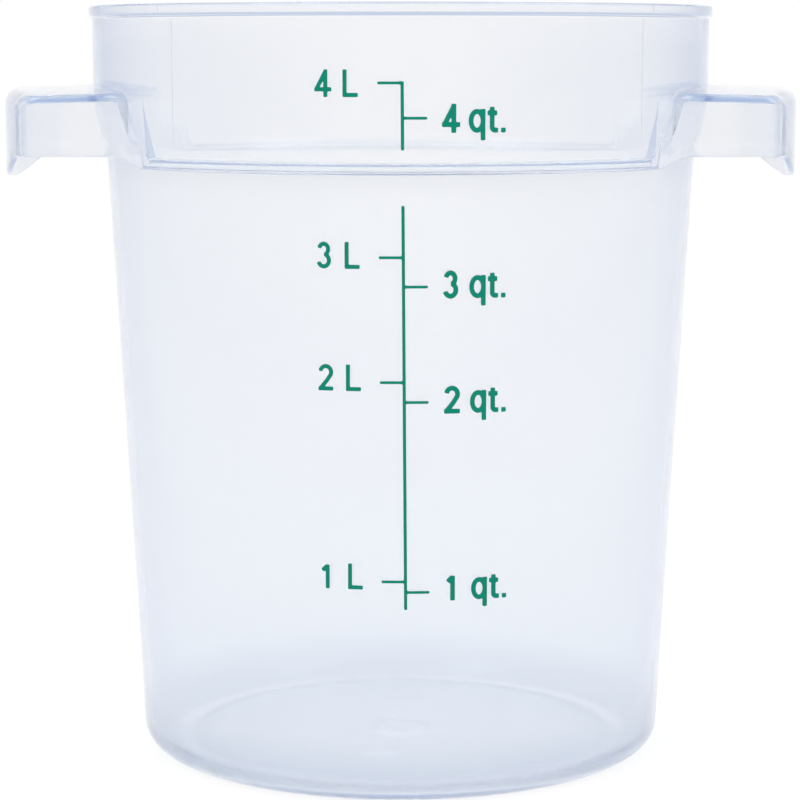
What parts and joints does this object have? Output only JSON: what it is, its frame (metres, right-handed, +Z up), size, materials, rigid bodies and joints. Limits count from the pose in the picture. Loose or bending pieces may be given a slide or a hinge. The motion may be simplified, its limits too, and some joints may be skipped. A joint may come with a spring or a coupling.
{
  "type": "round food storage container",
  "caption": "Round translucent storage tub with a tapered body, stacking ledge, thick rim, channel handles open below and a printed volume scale.",
  "frame": {"origin": "centre of the base, on the surface that the tub stands on", "axes": "+Z up through the mouth, +X along the two handles, -Y towards the side with the printed scale"},
  "size_m": [0.2342, 0.1846, 0.2225],
  "materials": {
    "translucent_polypropylene": "natural translucent polypropylene with a faint blue cast, smooth moulded, semi-gloss",
    "scale_ink": "thin printed green ink, satin"
  },
  "bodies": {
    "root": {"tub": "translucent_polypropylene", "collar_scale": "scale_ink", "body_scale": "scale_ink"}
  },
  "joints": []
}
